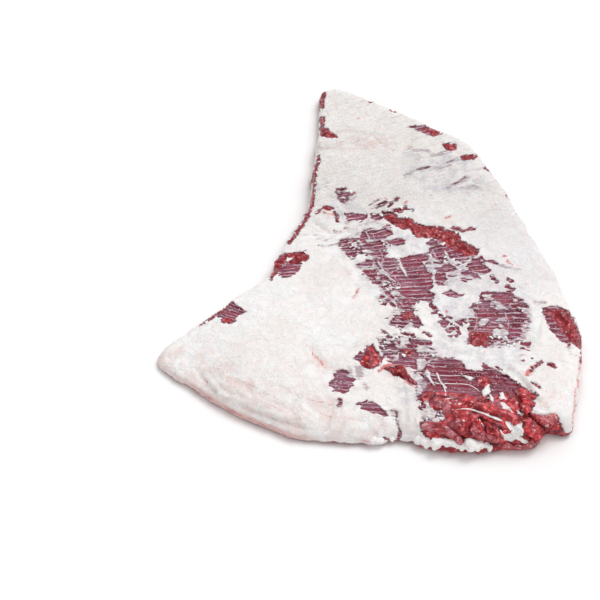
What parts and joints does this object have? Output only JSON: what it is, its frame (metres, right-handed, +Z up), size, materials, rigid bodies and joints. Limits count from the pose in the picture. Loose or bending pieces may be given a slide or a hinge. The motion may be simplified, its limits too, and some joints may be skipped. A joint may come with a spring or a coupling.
{
  "type": "raw beef top rib",
  "caption": "Slab of raw beef top rib, fat cap uppermost, with lean muscle showing through gaps in the fat and a torn front corner. Lies flat on its underside.",
  "frame": {"origin": "middle of the bounding box's underside, on the surface the slab lies on", "axes": "+Z up out of the fat cap; +Y from the thick torn front edge to the thinner far corner; +X across, from the thin pointed corner to the rounded side"},
  "size_m": [0.4112, 0.502, 0.0353],
  "materials": {
    "meat": "moist satin: off-white fat with dark red lean in its gaps and along the cut sides"
  },
  "bodies": {
    "root": {"beef_top_rib": "meat"}
  },
  "joints": []
}
